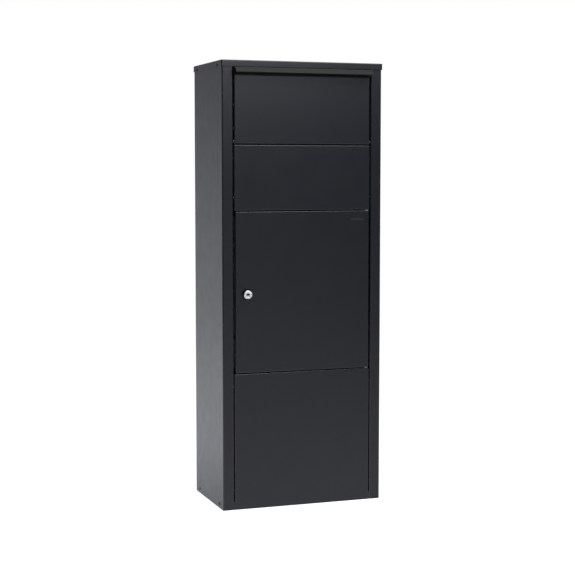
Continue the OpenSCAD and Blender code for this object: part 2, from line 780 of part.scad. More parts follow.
// Cheek: a sector plate from the flap round to the chute floor, which guides parcels at the side
module cheek_plate() {
  arc_steps = 30;
  boss_steps = 4;
  flap_face = -hinge_in + sheet; // inner face of the flap's skin, from the axis
  strip_h = cheek_r - 1; // top of the strip along the flap's return
  boss_end = acos(foot_clear / cheek_boss_r); // angle at which the boss meets the cut over the foot
  arc = [
    for (i = [0:arc_steps])
      let (a = 90 - i * (90 + chute_angle) / arc_steps) [cheek_r * cos(a), cheek_r * sin(a)]
  ];
  boss = [
    for (i = [0:boss_steps])
      let (a = -chute_angle - i * (boss_end - chute_angle) / boss_steps)
        [cheek_boss_r * cos(a), cheek_boss_r * sin(a)]
  ];
  strip = [[foot_clear, flap_face], [flap_face, flap_face], [flap_face, strip_h], [0, strip_h]];
  difference() {
    translate([cheek_x, axis_y, axis_z]) rotate([90, 0, 90]) linear_extrude(height = cheek_t)
      polygon(concat(strip, arc, boss));
    bar_x(cheek_x - eps, half_w, axis_y, axis_z, bush_r);
    for (z = flap_rivet_heights) bar_x(cheek_x - eps, half_w, axis_y + flap_rivet_y, axis_z + z, rivet_r);
    tipped() for (y = floor_rivet_reach) bar_x(cheek_x - eps, half_w, y, floor_flange_h / 2, rivet_r);
  }
}

module right_chute_cheek() {
  color([0.35, 0.35, 0.36]) cheek_plate();
}

module left_chute_cheek() {
  color([0.35, 0.35, 0.36]) mirror([1, 0, 0]) cheek_plate();
}

// Chute floor: a plate with a flange up each side and a stiffening lip at its rear end
module chute_floor() {
  color([0.35, 0.35, 0.36]) tipped() difference() {
    union() {
      slab([-floor_half, chute_start, -chute_t], [floor_half, chute_len, 0]);
      for (x = [-floor_half, floor_half - floor_flange_t])
        slab([x, flange_start, -chute_t], [x + floor_flange_t, chute_len, floor_flange_h]);
      slab([-floor_half, chute_len - chute_t, -lip_h], [floor_half, chute_len, 0]);
    }
    for (y = floor_rivet_reach) bar_x(-half_w, half_w, y, floor_flange_h / 2, rivet_r);
  }
}

// Rubber mat bonded on the chute floor
module chute_mat() {
  mat_x = floor_half - floor_flange_t - chute_mat_in;
  color([0.08, 0.08, 0.08]) tipped()
    slab([-mat_x, chute_start + mat_front_in, 0], [mat_x, chute_len - mat_rear_in, chute_mat_t]);
}

// Flanged bushes pressed into the flap's ends
module flap_bushes() {
  inner_face = cheek_x;
  outer_end = jamb_x - end_play;
  color([0.85, 0.85, 0.83]) for (s = sides)
    rotate([0, 0, s > 0 ? 0 : 180]) difference() {
      union() {
        bar_x(inner_face, outer_end, s * axis_y, axis_z, bush_r);
        bar_x(inner_face - bush_flange_h, inner_face, s * axis_y, axis_z, bush_flange_r);
      }
      bar_x(inner_face - bush_l, outer_end + bush_l, s * axis_y, axis_z, pin_r + pin_play);
    }
}

// One chute rivet at the right, through the given thickness outwards from x0
module chute_rivet(x0, x1, y, z) {
  bar_x(x0, x1, y, z, rivet_r);
  bar_x(x0 - rivet_head_h, x0, y, z, rivet_head_r);
  bar_x(x1, x1 + rivet_head_h, y, z, rivet_head_r);
}

// Rivets that hold the cheeks to the flap's returns and to the floor's flanges
module chute_rivets() {
  color([0.62, 0.63, 0.65]) for (s = [0, 1])
    mirror([s, 0, 0]) {
      for (z = flap_rivet_heights) chute_rivet(cheek_x, leaf_half, axis_y + flap_rivet_y, axis_z + z);
      tipped() for (y = floor_rivet_reach)
        chute_rivet(floor_half - floor_flange_t, cheek_x + cheek_t, y, floor_flange_h / 2);
    }
}

left_side_panel();
right_side_panel();
rear_strips();
back_panel();
lid();
base_plate();
base_walls();
lower_front_panel();
mid_front_panel();
front_header();
back_ledge();
floor_mat();
strike_strip();
strike_rivets();
hinge_brackets();
door_pins();
flap_pivot_bolts();
lid_rivets();
base_rivets();
back_rivets();
panel_screws();
panel_nuts();
wall_plates();
ground_plates();
door_buffers();
flap_buffers();
flap_stop_brackets();
flap_stop_pads();
door_skin();
door_stiffener();
door_bushes();
door_badge();
lock_housing();
lock_rosette();
lock_nut();
lock_plug();
cam_washer();
lock_cam();
cam_screw();
flap_front();
grip_rail();
rail_rivets();
left_chute_cheek();
right_chute_cheek();
chute_floor();
chute_mat();
flap_bushes();
chute_rivets();
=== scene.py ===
import json
import math

import bmesh
import bpy
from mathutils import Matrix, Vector


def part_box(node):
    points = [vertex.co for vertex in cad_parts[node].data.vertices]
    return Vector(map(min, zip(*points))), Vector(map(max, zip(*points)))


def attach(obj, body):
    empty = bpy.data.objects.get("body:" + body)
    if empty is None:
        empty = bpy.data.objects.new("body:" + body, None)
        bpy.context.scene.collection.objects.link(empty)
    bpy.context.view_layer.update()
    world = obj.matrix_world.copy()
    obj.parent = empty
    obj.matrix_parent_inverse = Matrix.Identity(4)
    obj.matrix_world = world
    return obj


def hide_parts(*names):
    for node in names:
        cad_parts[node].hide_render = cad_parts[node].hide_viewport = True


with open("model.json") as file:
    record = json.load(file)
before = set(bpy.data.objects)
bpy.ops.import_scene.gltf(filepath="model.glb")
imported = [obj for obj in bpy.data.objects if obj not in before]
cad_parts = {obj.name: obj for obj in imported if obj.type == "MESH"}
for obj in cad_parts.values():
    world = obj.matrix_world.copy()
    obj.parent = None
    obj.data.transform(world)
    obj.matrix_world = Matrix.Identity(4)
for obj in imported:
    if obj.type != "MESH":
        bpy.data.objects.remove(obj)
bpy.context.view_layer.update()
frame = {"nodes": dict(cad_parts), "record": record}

# ---------------------------------------------------------------------------------------------
# Side panels: each is one steel sheet, folded at the front into a stile and a jamb, then
# powder-coated near black. The bends are soft, so their edges catch the light.
# ---------------------------------------------------------------------------------------------
sheet = 0.0015  # steel thickness
bend = 0.0024  # outer radius of a fold
corner_bend = 0.0034  # and of the softer folds at the cabinet's front corners
stile_w = 0.035
jamb_d = 0.0215
jamb_foot = 0.027  # height that the jamb is cut back above the base walls
jamb_head = 0.002  # and below the lid
near = 1e-5  # two places closer than this are the same
fold_angle = 0.5  # radians; where two faces meet more sharply than this, the sheet is folded
fold_steps = 5  # faces round a fold
square_on = 0.999  # a face as square to an axis as this is flat, and not part of a fold
smooth_angle = math.radians(35)  # flatter edges than this are shaded smooth


def open_piece(piece, parts):
    """Opens a piece for shaping with nothing selected. parts is VERT, EDGE or FACE."""
    bpy.ops.object.select_all(action="DESELECT")
    bpy.context.view_layer.objects.active = piece
    piece.select_set(True)
    bpy.ops.object.mode_set(mode="EDIT")
    bpy.ops.mesh.select_mode(type=parts)
    bpy.ops.mesh.select_all(action="DESELECT")


def pick(piece, parts, wanted):
    """Selects the verts, edges or faces for which wanted(part, middle) is true, and no others."""
    mesh = bmesh.from_edit_mesh(piece.data)
    bpy.ops.mesh.select_mode(type={"verts": "VERT", "edges": "EDGE", "faces": "FACE"}[parts])
    bpy.ops.mesh.select_all(action="DESELECT")
    for part in getattr(mesh, parts):
        if parts == "verts":
            middle = part.co
        else:
            middle = sum((v.co for v in part.verts), Vector()) / len(part.verts)
        if wanted(part, middle):
            part.select_set(True)
    mesh.select_flush_mode()
    bmesh.update_edit_mesh(piece.data)


def fold(piece, wanted, by):
    """Draws the free edges that wanted names out by a vector, as a new leg of the sheet."""
    pick(piece, "edges", lambda edge, middle: edge.is_boundary and wanted(middle))
    bpy.ops.mesh.extrude_region_move(TRANSFORM_OT_translate={"value": by})


def apply_modifier(piece, kind, **settings):
    """Adds a modifier with these settings and applies it."""
    bpy.ops.object.select_all(action="DESELECT")
    bpy.context.view_layer.objects.active = piece
    piece.select_set(True)
    modifier = piece.modifiers.new(kind.lower(), kind)
    for name, value in settings.items():
        setattr(modifier, name, value)
    bpy.ops.object.modifier_apply(modifier=modifier.name)


def mark_folds(piece):
    """Notes the selected faces that slant as folds, where the finish gets rubbed."""
    mesh = bmesh.from_edit_mesh(piece.data)
    folds = mesh.faces.layers.float.new("fold")
    for face in mesh.faces:
        if face.select and max(abs(side) for side in face.normal) < square_on:
            face[folds] = 1


def thicken(piece, radius, thickness, outward):
    """Rounds the folds, points the sheet's faces outward and gives it its thickness inward."""
    pick(
        piece,
        "edges",
        lambda edge, middle: len(edge.link_faces) == 2 and edge.calc_face_angle() > fold_angle,
    )
    bpy.ops.mesh.bevel(offset=radius, segments=fold_steps, affect="EDGES")
    mark_folds(piece)
    bpy.ops.mesh.select_all(action="SELECT")
    bpy.ops.mesh.remove_doubles(threshold=near)
    bpy.ops.mesh.normals_make_consistent(inside=False)
    mesh = bmesh.from_edit_mesh(piece.data)
    largest = max(mesh.faces, key=lambda face: face.calc_area())
    if largest.normal.dot(Vector(outward)) < 0:
        bpy.ops.mesh.flip_normals()
    bpy.ops.object.mode_set(mode="OBJECT")
    apply_modifier(piece, "SOLIDIFY", thickness=thickness, offset=-1, use_even_offset=True)


def place(piece):
    """Puts the object's place, turn and scale into its mesh."""
    bpy.ops.object.select_all(action="DESELECT")
    bpy.context.view_layer.objects.active = piece
    piece.select_set(True)
    bpy.ops.object.transform_apply(location=True, rotation=True, scale=True)


def sheet_blank(name, middle, size, turn):
    """A flat rectangular blank: a plane of this size, turned and put in place."""
    bpy.ops.object.select_all(action="DESELECT")
    bpy.ops.mesh.primitive_plane_add(size=1, location=middle, rotation=turn)
    piece = bpy.context.object
    piece.name = name
    piece.scale = (size[0], size[1], 1)
    place(piece)
    return piece


def finish_piece(piece, material, body, stands_for):
    """Shades a piece, gives it its material and body, and puts it in its CAD node's place."""
    bpy.ops.object.select_all(action="DESELECT")
    bpy.context.view_layer.objects.active = piece
    piece.select_set(True)
    bpy.ops.object.shade_smooth_by_angle(angle=smooth_angle)
    apply_modifier(piece, "WEIGHTED_NORMAL", keep_sharp=True)
    piece.data.materials.clear()
    piece.data.materials.append(material)
    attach(piece, body)
    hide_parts(stands_for)


noise_low = 0.3  # the noise's own values mostly lie between these two
noise_high = 0.7
rub_fineness = 60  # how fine the rubbed patches are
rub_detail = 4
rub_start = 0.25  # the noise value at which a fold starts to look rubbed
rub_full = 0.50  # and at which it is fully rubbed
fold_rough = 0.12  # roughness of a fold that is rubbed smooth
peel_strength = 0.5


def effect(name, inputs, outputs):
    """An empty shader node group with named number inputs and outputs."""
    group = bpy.data.node_groups.new(name, "ShaderNodeTree")
    for label, value in inputs.items():
        socket = group.interface.new_socket(label, in_out="INPUT", socket_type="NodeSocketFloat")
        socket.default_value = value
    for label in outputs:
        group.interface.new_socket(label, in_out="OUTPUT", socket_type="NodeSocketFloat")
    return group, group.nodes.new("NodeGroupInput"), group.nodes.new("NodeGroupOutput")


def grain_effect():
    """Noise of a given fineness on the piece's own coordinates, brought between Low and High."""
    group, given, out = effect(
        "grain", {"Fineness": 10, "Detail": 3, "Low": 0, "High": 1}, ["Value"]
    )
    place_in = group.nodes.new("ShaderNodeTexCoord")
    noise = group.nodes.new("ShaderNodeTexNoise")
    spread = group.nodes.new("ShaderNodeMapRange")
    spread.inputs["From Min"].default_value = noise_low
    spread.inputs["From Max"].default_value = noise_high
    group.links.new(place_in.outputs["Object"], noise.inputs["Vector"])
    group.links.new(given.outputs["Fineness"], noise.inputs["Scale"])
    group.links.new(given.outputs["Detail"], noise.inputs["Detail"])
    group.links.new(noise.outputs["Fac"], spread.inputs["Value"])
    group.links.new(given.outputs["Low"], spread.inputs["To Min"])
    group.links.new(given.outputs["High"], spread.inputs["To Max"])
    group.links.new(spread.outputs["Result"], out.inputs["Value"])
    return group


def rub_effect():
    """Mask of the folds, broken up by noise, where hands and parcels rub the finish."""
    group, given, out = effect("fold_rub", {"Amount": 1}, ["Mask"])
    folds = group.nodes.new("ShaderNodeAttribute")
    folds.attribute_name = "fold"
    place_in = group.nodes.new("ShaderNodeTexCoord")
    noise = group.nodes.new("ShaderNodeTexNoise")
    noise.inputs["Scale"].default_value = rub_fineness
    noise.inputs["Detail"].default_value = rub_detail
    patches = group.nodes.new("ShaderNodeMapRange")
    patches.inputs["From Min"].default_value = rub_start
    patches.inputs["From Max"].default_value = rub_full
    both = group.nodes.new("ShaderNodeMath")
    both.operation = "MULTIPLY"
    scaled = group.nodes.new("ShaderNodeMath")
    scaled.operation = "MULTIPLY"
    group.links.new(place_in.outputs["Object"], noise.inputs["Vector"])
    group.links.new(noise.outputs["Fac"], patches.inputs["Value"])
    group.links.new(folds.outputs["Fac"], both.inputs[0])
    group.links.new(patches.outputs["Result"], both.inputs[1])
    group.links.new(both.outputs["Value"], scaled.inputs[0])
    group.links.new(given.outputs["Amount"], scaled.inputs[1])
    group.links.new(scaled.outputs["Value"], out.inputs["Mask"])
    return group


grain = grain_effect()
fold_rub = rub_effect()


def use_effect(tree, group, **values):
    """Places a node group in a material with its own values."""
    node = tree.nodes.new("ShaderNodeGroup")
    node.node_tree = group
    for label, value in values.items():
        node.inputs[label].default_value = value
    return node


def mixed(tree, factor, first, second):
    """A mix of two colours or colour sockets, set by a number socket."""
    mix = tree.nodes.new("ShaderNodeMix")
    mix.data_type = "RGBA"
    tree.links.new(factor, mix.inputs["Factor"])
    for socket, value in ((mix.inputs["A"], first), (mix.inputs["B"], second)):
        if isinstance(value, bpy.types.NodeSocket):
            tree.links.new(value, socket)
        else:
            socket.default_value = (*value, 1)
    return mix.outputs["Result"]


def between(tree, factor, low, high):
    """A number between two numbers or number sockets, set by a factor socket."""
    mix = tree.nodes.new("ShaderNodeMix")
    tree.links.new(factor, mix.inputs["Factor"])
    for socket, value in ((mix.inputs["A"], low), (mix.inputs["B"], high)):
        if isinstance(value, bpy.types.NodeSocket):
            tree.links.new(value, socket)
        else:
            socket.default_value = value
    return mix.outputs["Result"]


def bumped(tree, height, strength, distance):
    """A Bump node that feeds the shader's Normal."""
    bump = tree.nodes.new("ShaderNodeBump")
    bump.inputs["Strength"].default_value = strength
    bump.inputs["Distance"].default_value = distance
    tree.links.new(height, bump.inputs["Height"])
    tree.links.new(bump.outputs["Normal"], tree.nodes["Principled BSDF"].inputs["Normal"])


def coating(name, dark, light, rubbed, rough, peel_size, peel_depth, rub=0.9, ior=1.5):
    """A sprayed or baked coat: mottled colour, uneven gloss, orange peel and rubbed edges."""
    material = bpy.data.materials.new(name)
    material.use_nodes = True
    tree = material.node_tree
    shader = tree.nodes["Principled BSDF"]
    clouds = use_effect(tree, grain, Fineness=7, Detail=4, Low=0, High=1)
    specks = use_effect(tree, grain, Fineness=900, Detail=2, Low=0, High=0.35)
    gloss = use_effect(tree, grain, Fineness=24, Detail=5, Low=rough[0], High=rough[1])
    peel = use_effect(tree, grain, Fineness=1 / peel_size, Detail=2, Low=0, High=1)
    edges = use_effect(tree, fold_rub, Amount=rub)
    base = mixed(tree, clouds.outputs["Value"], dark, light)
    speckled = mixed(tree, specks.outputs["Value"], base, light)
    worn = mixed(tree, edges.outputs["Mask"], speckled, rubbed)
    tree.links.new(worn, shader.inputs["Base Color"])
    polished = between(tree, edges.outputs["Mask"], gloss.outputs["Value"], fold_rough)
    tree.links.new(polished, shader.inputs["Roughness"])
    shader.inputs["IOR"].default_value = ior
    bumped(tree, peel.outputs["Value"], peel_strength, peel_depth)
    return material


powder_coat = coating(
    "powder_coat_black",
    dark=(0.0040, 0.0047, 0.0076),
    light=(0.0060, 0.0067, 0.0100),
    rubbed=(0.013, 0.014, 0.018),
    rough=(0.38, 0.42),
    peel_size=0.0016,
    peel_depth=0.00005,
)

for side, inward in (("left", 1), ("right", -1)):
    low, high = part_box(f"{side}_side_panel")
    outer_x = low.x if side == "left" else high.x
    jamb_x = outer_x + inward * stile_w
    panel = sheet_blank(
        f"{side}_side_sheet",
        (outer_x, (low.y + high.y) / 2, (low.z + high.z) / 2),
        (high.z - low.z, high.y - low.y),
        (0, math.pi / 2, 0),
    )
    open_piece(panel, "EDGE")
    fold(panel, lambda m: abs(m.y - low.y) < near, (inward * stile_w, 0, 0))
    fold(panel, lambda m: abs(m.x - jamb_x) < near, (0, jamb_d, 0))
    for end, cut in ((low.z, jamb_foot), (high.z, -jamb_head)):
        pick(panel, "verts", lambda v, m: abs(m.y - low.y - jamb_d) < near and abs(m.z - end) < near)
        bpy.ops.transform.translate(value=(0, 0, cut))
    thicken(panel, corner_bend, sheet, (-inward, 0, 0))
    finish_piece(panel, powder_coat, "root", f"{side}_side_panel")

# ---------------------------------------------------------------------------------------------
# Back panel: a flat powder-coated sheet riveted to strips in the rear corners. Four wall bolt
# holes are punched in it, and its rivets are set flush so that it can stand against a wall.
# ---------------------------------------------------------------------------------------------
wall_hole_r = 0.0045
wall_hole_x = 0.180
wall_hole_z = (0.300, 1.100)
cut_edge = 0.0003  # how far the edges of a flat sheet are softened
edge_steps = 3  # faces round a softened edge
through = 0.02  # length of a punch, longer than any sheet is thick


def block(name, low, high, soften):
    """A block between two corners, with its edges softened by this much or left sharp at 0."""
    bpy.ops.object.select_all(action="DESELECT")
    bpy.ops.mesh.primitive_cube_add(size=1, location=(Vector(low) + Vector(high)) / 2)
    piece = bpy.context.object
    piece.name = name
    piece.scale = Vector(high) - Vector(low)
    place(piece)
    if soften:
        apply_modifier(piece, "BEVEL", width=soften, segments=edge_steps, limit_method="ANGLE")
    return piece


def round_bar(name, middle, radius, length, axis, corners=96):
    """A round bar along X, Y or Z."""
    turn = {"X": (0, math.pi / 2, 0), "Y": (math.pi / 2, 0, 0), "Z": (0, 0, 0)}[axis]
    bpy.ops.object.select_all(action="DESELECT")
    bpy.ops.mesh.primitive_cylinder_add(
        vertices=corners, radius=radius, depth=length, location=middle, rotation=turn
    )
    piece = bpy.context.object
    piece.name = name
    place(piece)
    return piece


def bore(piece, middle, radius, length, axis, corners=48):
    """Cuts a round hole through a piece along X, Y or Z."""
    cutter = round_bar("cutter", middle, radius, length, axis, corners)
    apply_modifier(piece, "BOOLEAN", object=cutter, operation="DIFFERENCE", solver="EXACT")
    bpy.data.objects.remove(cutter)


low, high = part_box("back_panel")
back_sheet = block("back_sheet", low, high, cut_edge)
for x in (-wall_hole_x, wall_hole_x):
    for z in wall_hole_z:
        bore(back_sheet, (x, high.y, z), wall_hole_r, through, "Y")
finish_piece(back_sheet, powder_coat, "root", "back_panel")

# ---------------------------------------------------------------------------------------------
# Base plate: a flat powder-coated sheet with softened edges, welded to the four bars that stand
# on it. Four holes take the ground bolts.
# ---------------------------------------------------------------------------------------------
ground_hole_r = 0.006
ground_hole_x = 0.190
ground_hole_y = 0.095

low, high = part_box("base_plate")
base_sheet = block("base_sheet", low, high, cut_edge)
for x in (-ground_hole_x, ground_hole_x):
    for y in (-ground_hole_y, ground_hole_y):
        bore(base_sheet, (x, y, low.z), ground_hole_r, through, "Z")
finish_piece(base_sheet, powder_coat, "root", "base_plate")

# ---------------------------------------------------------------------------------------------
# Lid: one sheet folded down at the front and at both sides, with welded and dressed corners. It
# sits over the cabinet with a hair's clearance and is riveted through its side skirts.
# ---------------------------------------------------------------------------------------------
lid_t = 0.002
lid_bend = 0.0030

low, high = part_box("lid")
lid = sheet_blank(
    "lid_sheet",
    ((low.x + high.x) / 2, (low.y + high.y) / 2, high.z),
    (high.x - low.x, high.y - low.y),
    (0, 0, 0),
)
open_piece(lid, "EDGE")
fold(lid, lambda m: m.y < high.y - near, (0, 0, low.z - high.z))
thicken(lid, lid_bend, lid_t, (0, 0, 1))
finish_piece(lid, powder_coat, "root", "lid")

# ---------------------------------------------------------------------------------------------
# Fixed front panels: two folded pans, one below the door and one above it. Their returns run back
# beside the jambs, and the deep returns next to the door hold its hinge pins.
# ---------------------------------------------------------------------------------------------
panel_return = 0.018
hinge_return = 0.025
mid_top_return = 0.009


def front_blank(name, node):
    """The front skin of a pan, cut to the CAD node's width and height at its front plane."""
    low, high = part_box(node)
    middle = ((low.x + high.x) / 2, low.y, (low.z + high.z) / 2)
    piece = sheet_blank(name, middle, (high.x - low.x, high.z - low.z), (math.pi / 2, 0, 0))
    open_piece(piece, "EDGE")
    return piece, low, high


lower, low, high = front_blank("lower_front_pan", "lower_front_panel")
fold(lower, lambda m: m.z > low.z + near, (0, panel_return, 0))
fold(
    lower,
    lambda m: abs(m.z - high.z) < near and abs(m.y - low.y - panel_return) < near,
    (0, hinge_return - panel_return, 0),
)
thicken(lower, bend, sheet, (0, -1, 0))
finish_piece(lower, powder_coat, "root", "lower_front_panel")

middle_pan, low, high = front_blank("middle_front_pan", "mid_front_panel")
fold(middle_pan, lambda m: True, (0, mid_top_return, 0))
fold(
    middle_pan,
    lambda m: abs(abs(m.x) - high.x) < near and abs(m.y - low.y - mid_top_return) < near,
    (0, panel_return - mid_top_return, 0),
)
fold(
    middle_pan,
    lambda m: abs(m.z - low.z) < near and abs(m.y - low.y - mid_top_return) < near,
    (0, hinge_return - mid_top_return, 0),
)
thicken(middle_pan, bend, sheet, (0, -1, 0))
finish_piece(middle_pan, powder_coat, "root", "mid_front_panel")

# ---------------------------------------------------------------------------------------------
# Door: a folded pan with welded corners and a channel spot-welded up its middle. The lock's hole
# is punched near the left edge, and a plain pill-shaped badge is bonded near the top right.
# ---------------------------------------------------------------------------------------------
door_return = 0.016
stiffener_bend = 0.0020
barrel_r = 0.011  # the lock's barrel, and the hole for it

door, low, high = front_blank("door_pan", "door_skin")
fold(door, lambda m: True, (0, door_return, 0))
thicken(door, bend, sheet, (0, -1, 0))
barrel_low, barrel_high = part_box("lock_housing")
lock_x = (barrel_low.x + barrel_high.x) / 2
lock_z = (barrel_low.z + barrel_high.z) / 2
bore(door, (lock_x, low.y, lock_z), barrel_r, through, "Y", corners=64)
finish_piece(door, powder_coat, "door", "door_skin")

low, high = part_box("door_stiffener")
stiffener = sheet_blank(
    "door_channel",
    ((low.x + high.x) / 2, high.y, (low.z + high.z) / 2),
    (high.x - low.x, high.z - low.z),
    (-math.pi / 2, 0, 0),
)
open_piece(stiffener, "EDGE")
fold(stiffener, lambda m: abs(abs(m.x) - high.x) < near, (0, low.y - high.y, 0))
thicken(stiffener, stiffener_bend, sheet, (0, 1, 0))
finish_piece(stiffener, powder_coat, "door", "door_stiffener")

# ---------------------------------------------------------------------------------------------
# Grip rail: an extruded aluminium section, anodised nearly black. Its level top turns down into a
# sloped face whose lip folds back under for the fingers, and its leg is riveted to the flap.
# ---------------------------------------------------------------------------------------------
rail_t = 0.002
rail_top_d = 0.015  # depth of the level top
rail_slope = 0.015  # how far the sloped face drops
rail_bend = 0.0018
rail_lip_d = 0.004  # how far the lip runs back
rail_lip_h = 0.0025  # and down
rail_outside = (0, 0.5, 1)  # the section's outside faces up and back
cloud_fineness = 30  # of the uneven tone in the metal
gloss_fineness = 90
edge_polish = 0.5  # how far folds are polished to the bright tone
painted_shade_colour = (0.006, 0.006, 0.006)  # painted shade, the near-black colour that darkens marked faces in a hollow such as the key slot
line_strength = 0.4


def metal(name, dull, bright, rough, metallic, lines, depth):
    """Bare or plated metal: fine lines, uneven tone and gloss, bright folds, and painted shade on
    marked hollows.
    """
    material = bpy.data.materials.new(name)
    material.use_nodes = True
    tree = material.node_tree
    shader = tree.nodes["Principled BSDF"]
    place_in = tree.nodes.new("ShaderNodeTexCoord")
    along = tree.nodes.new("ShaderNodeMapping")
    along.inputs["Scale"].default_value = lines
    streaks = tree.nodes.new("ShaderNodeTexNoise")
    streaks.inputs["Scale"].default_value = 1
    streaks.inputs["Detail"].default_value = 4
    clouds = use_effect(tree, grain, Fineness=cloud_fineness, Detail=4, Low=0, High=1)
    gloss = use_effect(tree, grain, Fineness=gloss_fineness, Detail=4, Low=rough[0], High=rough[1])
    edges = use_effect(tree, fold_rub, Amount=edge_polish)
    tree.links.new(place_in.outputs["Object"], along.inputs["Vector"])
    tree.links.new(along.outputs["Vector"], streaks.inputs["Vector"])
    tone = mixed(tree, clouds.outputs["Value"], dull, bright)
    lined = mixed(tree, streaks.outputs["Fac"], tone, dull)
    worn = mixed(tree, edges.outputs["Mask"], lined, bright)
    # Painted shade: faces marked as a hollow are darkened to near black, standing in for the shade
    # inside it.
    painted_shade_mark = tree.nodes.new("ShaderNodeAttribute")
    painted_shade_mark.attribute_name = "painted_shade_mark"
    with_painted_shade = mixed(tree, painted_shade_mark.outputs["Fac"], worn, painted_shade_colour)
    tree.links.new(with_painted_shade, shader.inputs["Base Color"])
    tree.links.new(gloss.outputs["Value"], shader.inputs["Roughness"])
    shader.inputs["Metallic"].default_value = metallic
    bumped(tree, streaks.outputs["Fac"], line_strength, depth)
    return material


rail_finish = metal(
    "anodised_rail",
    dull=(0.011, 0.011, 0.0095),
    bright=(0.018, 0.018, 0.016),
    rough=(0.34, 0.42),
    metallic=0.6,
    lines=(6, 2600, 2600),
    depth=0.00002,
)

low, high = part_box("grip_rail")
rail = sheet_blank(
    "grip_rail_section",
    ((low.x + high.x) / 2, high.y - rail_top_d / 2, high.z),
    (high.x - low.x, rail_top_d),
    (0, 0, 0),
)
open_piece(rail, "EDGE")
fold(rail, lambda m: abs(m.y - high.y) < near, (0, 0, low.z - high.z))
fold(
    rail,
    lambda m: abs(m.y - high.y + rail_top_d) < near,
    (0, low.y - high.y + rail_top_d, -rail_slope),
)
fold(rail, lambda m: abs(m.y - low.y) < near, (0, rail_lip_d, -rail_lip_h))
thicken(rail, rail_bend, rail_t, rail_outside)
finish_piece(rail, rail_finish, "flap", "grip_rail")

# ---------------------------------------------------------------------------------------------
# Flap: a folded pan like the door, hung on two pivot bolts near its lower corners. Its bottom
# return is short, to clear the middle panel as it swings.
# ---------------------------------------------------------------------------------------------
flap_return = 0.016
flap_foot = 0.008

flap, low, high = front_blank("flap_pan", "flap_front")
fold(flap, lambda m: True, (0, flap_foot, 0))
fold(
    flap,
    lambda m: m.z > low.z + near and abs(m.y - low.y - flap_foot) < near,
    (0, flap_return - flap_foot, 0),
)
thicken(flap, bend, sheet, (0, -1, 0))
finish_piece(flap, powder_coat, "flap", "flap_front")

# ---------------------------------------------------------------------------------------------
# Cam lock: a chromed head on a black rosette, and a satin nickel plug that turns in it. The
# plug's key slot widens to a round in its middle, and the cam hangs from the plug's tail. The
# slot's walls carry painted shade.
# ---------------------------------------------------------------------------------------------
rosette_r = 0.016
rosette_round = 0.0009  # how far the rosette's rim is rounded
head_r = 0.0132
head_len = 0.0095  # the head stands this long in front of the thinner barrel
head_slope = 0.0009  # the sloped rim round the head's face
head_ring = 0.0022  # the flat ring inside the rim
head_step_w = 0.0006  # the step down from the ring to the plug
head_step_d = 0.0004
plug_r = 0.00775
plug_gap = 0.00006  # between the plug and its bore
plug_len = 0.0326  # the plug's thick part
tail_r = 0.005  # the thin part behind it
plug_rim_w = 0.0004  # the raised rim round the plug's face
plug_rim_h = 0.0003
plug_ring = 0.0007  # the flat ring inside the rim
plug_dish_w = 0.0002  # the step down to the plug's middle
plug_dish_d = 0.0003
key_slot_w = 0.0118
key_slot_h = 0.0036
key_slot_d = 0.024
key_round_r = 0.0034  # the round middle of the key slot
slot_end = 0.0006  # the slot's walls stay clean this close to the plug's ends
cut_past = 0.002  # how far a cutter starts in front of the plug's face
rim_share = 0.9  # places further out than this share of a radius are on the rim


def front_face(face, middle):
    """True for a face that looks forward."""
    return face.normal.y < -0.9


def rear_face(face, middle):
    """True for a face that looks back."""
    return face.normal.y > 0.9


def from_lock_axis(middle):
    """Distance from the lock's axis."""
    return Vector((middle.x - lock_x, 0, middle.z - lock_z)).length


def slot_wall(face, middle):
    """True for a wall of the key slot, which runs back inside the plug."""
    inside = low.y + slot_end < middle.y < plug_end - slot_end
    runs_back = abs(face.normal.y) < 0.5
    return inside and runs_back and from_lock_axis(middle) < rim_share * plug_r


def mark_painted_shade(piece, wanted):
    """Marks the faces of a hollow for painted shade, which darkens the metal there."""
    open_piece(piece, "FACE")
    pick(piece, "faces", wanted)
    mesh = bmesh.from_edit_mesh(piece.data)
    painted_shade_mark = mesh.faces.layers.float.new("painted_shade_mark")
    for face in mesh.faces:
        if face.select:
            face[painted_shade_mark] = 1
    bpy.ops.object.mode_set(mode="OBJECT")


chrome = metal(
    "chromed_lock",
    dull=(0.84, 0.84, 0.83),
    bright=(0.95, 0.95, 0.94),
    rough=(0.10, 0.18),
    metallic=1.0,
    lines=(900, 900, 900),
    depth=0.000004,
)
nickel = metal(
    "nickel_plug",
    dull=(0.66, 0.65, 0.62),
    bright=(0.86, 0.85, 0.82),
    rough=(0.18, 0.30),
    metallic=1.0,
    lines=(1200, 1200, 1200),
    depth=0.000005,
)

rosette_black = coating(
    "satin_black_collar",
    dark=(0.0016, 0.0016, 0.0018),
    light=(0.0028, 0.0028, 0.0030),
    rubbed=(0.006, 0.006, 0.006),
    rough=(0.50, 0.60),
    peel_size=0.0007,
    peel_depth=0.00001,
    ior=1.12,
)

low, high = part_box("lock_housing")
head_end = low.y + head_len
head = round_bar("lock_head", (lock_x, (low.y + head_end) / 2, lock_z), head_r, head_len, "Y")
open_piece(head, "FACE")
pick(head, "faces", front_face)
bpy.ops.mesh.inset(thickness=head_slope, depth=head_slope)
bpy.ops.mesh.inset(thickness=head_ring, depth=0)
bpy.ops.mesh.inset(thickness=head_step_w, depth=-head_step_d)
pick(head, "faces", rear_face)
bpy.ops.mesh.inset(thickness=head_r - barrel_r, depth=0)
bpy.ops.mesh.extrude_region_move(TRANSFORM_OT_translate={"value": (0, high.y - head_end, 0)})
bpy.ops.object.mode_set(mode="OBJECT")
bore_len = 2 * (high.y - low.y)
bore(head, (lock_x, (low.y + high.y) / 2, lock_z), plug_r + plug_gap, bore_len, "Y", corners=96)
finish_piece(head, chrome, "door", "lock_housing")

